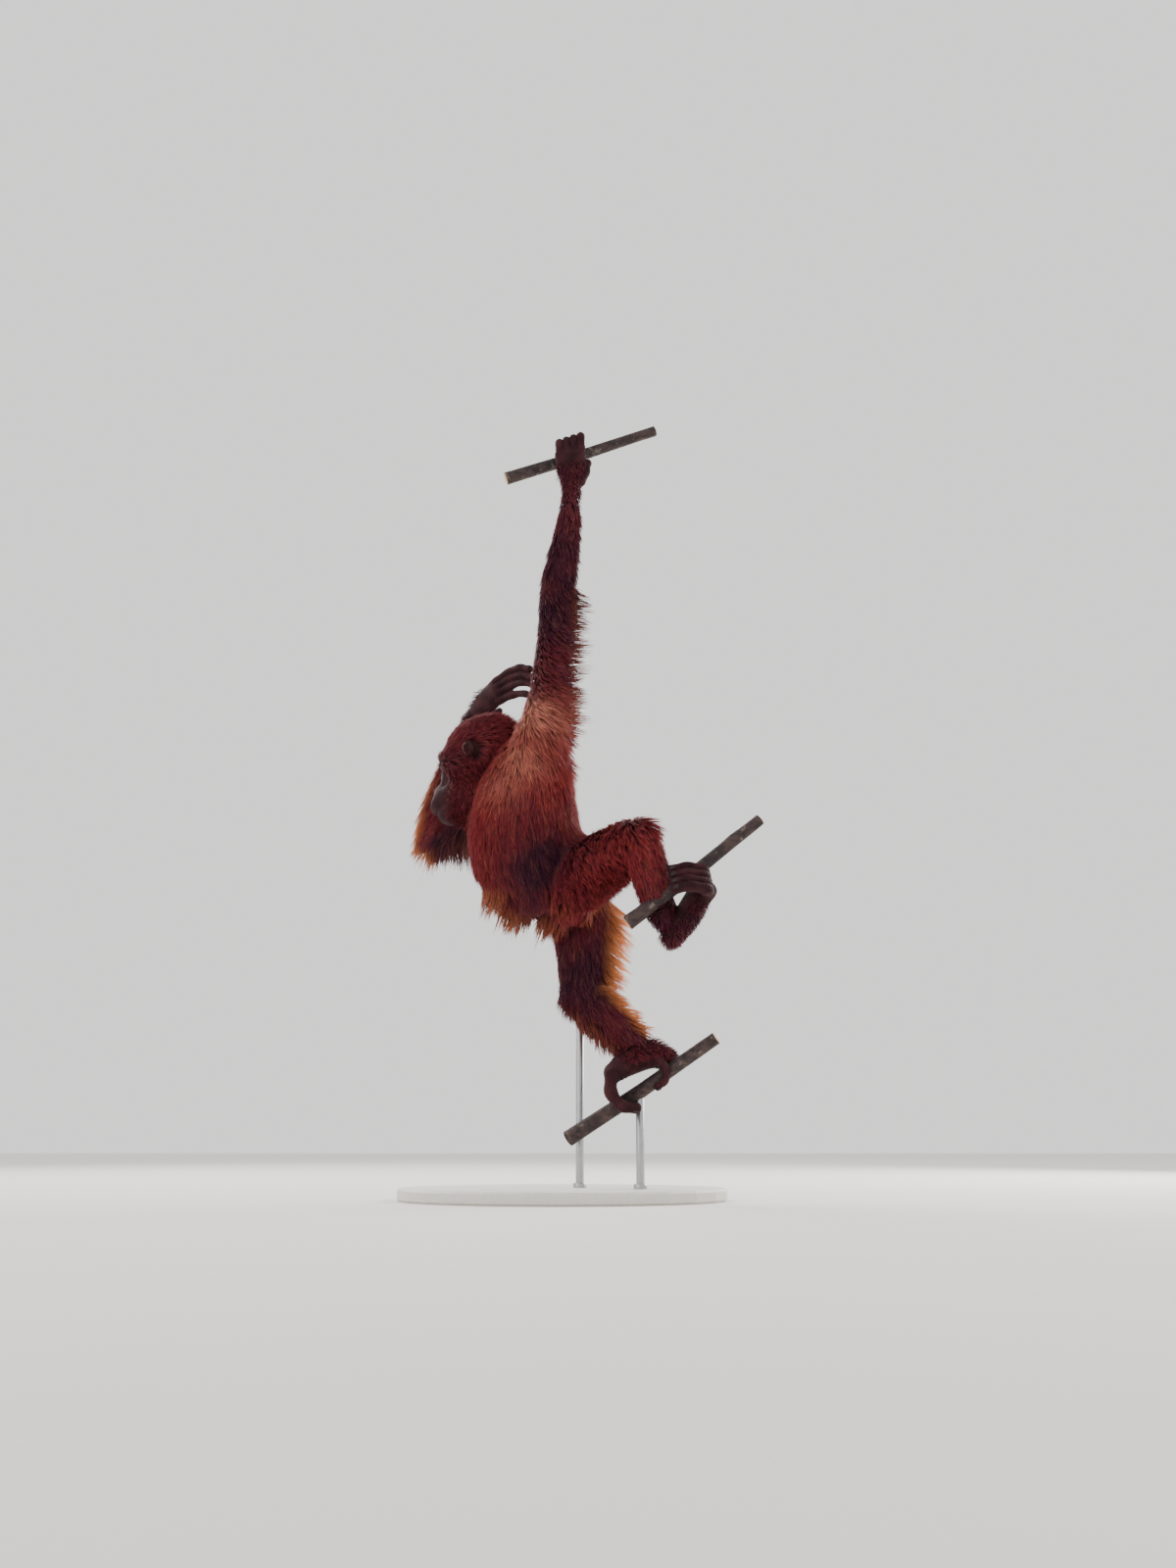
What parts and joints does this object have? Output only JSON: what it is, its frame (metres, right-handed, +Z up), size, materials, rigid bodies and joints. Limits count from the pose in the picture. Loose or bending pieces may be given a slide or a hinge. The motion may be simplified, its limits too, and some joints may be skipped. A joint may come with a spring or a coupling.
{
  "type": "orangutan figure",
  "caption": "Life-size still model of a young orangutan hanging by one arm, its feet gripping branches, on a flat display stand.",
  "frame": {"origin": "middle of the display base's underside", "axes": "+Z up; the animal hangs facing -X with its left side towards -Y"},
  "size_m": [0.7126, 0.5298, 1.6076],
  "materials": {
    "coat": "matte",
    "bare_skin": "satin",
    "eye": "gloss",
    "bark": "matte",
    "stand_board": "matte",
    "stand_metal": "satin"
  },
  "bodies": {
    "root": {"ear_left": "bare_skin", "ear_right": "bare_skin", "eye_left": "eye", "eye_right": "eye", "foot_left": "bare_skin", "foot_left_big_toe": "bare_skin", "foot_left_toe_2": "bare_skin", "foot_left_toe_3": "bare_skin", "foot_left_toe_4": "bare_skin", "foot_left_toe_5": "bare_skin", "foot_right": "bare_skin", "foot_right_big_toe": "bare_skin", "foot_right_toe_2": "bare_skin", "foot_right_toe_3": "bare_skin", "foot_right_toe_4": "bare_skin", "foot_right_toe_5": "bare_skin", "forearm_left": "coat", "forearm_right": "coat", "hand_left": "bare_skin", "hand_left_index": "bare_skin", "hand_left_little": "bare_skin", "hand_left_middle": "bare_skin", "hand_left_ring": "bare_skin", "hand_left_thumb": "bare_skin", "hand_right": "bare_skin", "hand_right_index": "bare_skin", "hand_right_little": "bare_skin", "hand_right_middle": "bare_skin", "hand_right_ring": "bare_skin", "hand_right_thumb": "bare_skin", "head": "coat", "neck": "coat", "pelvis": "coat", "perch_lower": "bark", "perch_middle": "bark", "perch_top": "bark", "shank_left": "coat", "shank_right": "coat", "stand_base": "stand_board", "stand_rod_knee": "stand_metal", "stand_rod_perch": "stand_metal", "thigh_left": "coat", "thigh_right": "coat", "torso": "coat", "upper_arm_left": "coat", "upper_arm_right": "coat"}
  },
  "joints": []
}
